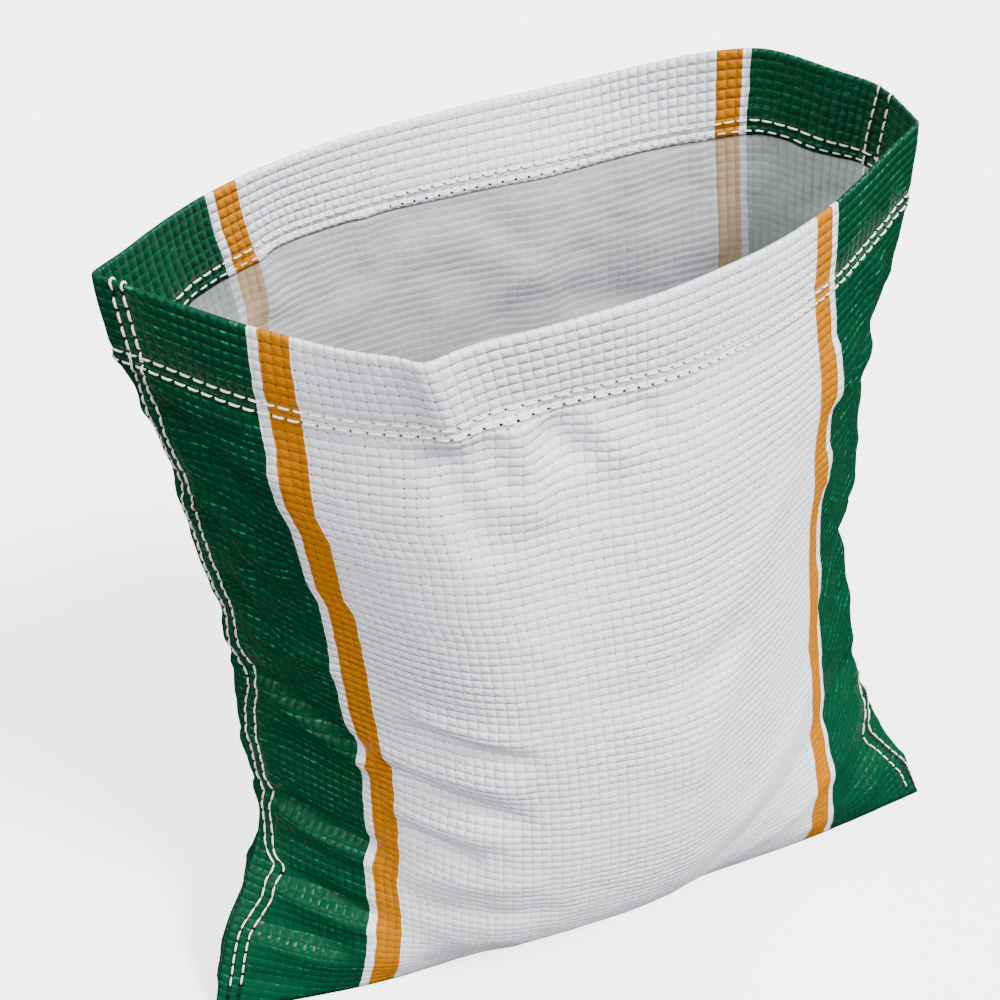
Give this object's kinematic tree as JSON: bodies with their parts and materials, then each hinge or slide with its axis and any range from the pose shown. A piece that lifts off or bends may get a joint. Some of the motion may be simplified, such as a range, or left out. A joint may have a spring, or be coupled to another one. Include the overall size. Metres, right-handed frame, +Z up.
{
  "type": "woven feed bag",
  "caption": "Empty open woven plastic sack standing upright, hemmed mouth turned inwards, double-stitched side seams, folded base with pointed corners.",
  "frame": {"origin": "on the floor, under the middle of the bag's box", "axes": "+Z up through the mouth, -Y towards the front panel, +X along the front panel to its right"},
  "size_m": [0.446, 0.2298, 0.4568],
  "materials": {
    "coated_woven_fabric": "glossy laminated weave",
    "cream_thread": "matt twisted polyester"
  },
  "bodies": {
    "root": {"bag_sheet": "coated_woven_fabric", "hem_needle_thread_upper": "cream_thread", "hem_needle_thread_lower": "cream_thread", "hem_bobbin_thread_upper": "cream_thread", "hem_bobbin_thread_lower": "cream_thread", "left_seam_needle_thread_edge": "cream_thread", "left_seam_needle_thread_body": "cream_thread", "left_seam_bobbin_thread_edge": "cream_thread", "left_seam_bobbin_thread_body": "cream_thread", "right_seam_needle_thread_edge": "cream_thread", "right_seam_needle_thread_body": "cream_thread", "right_seam_bobbin_thread_edge": "cream_thread", "right_seam_bobbin_thread_body": "cream_thread"}
  },
  "joints": []
}
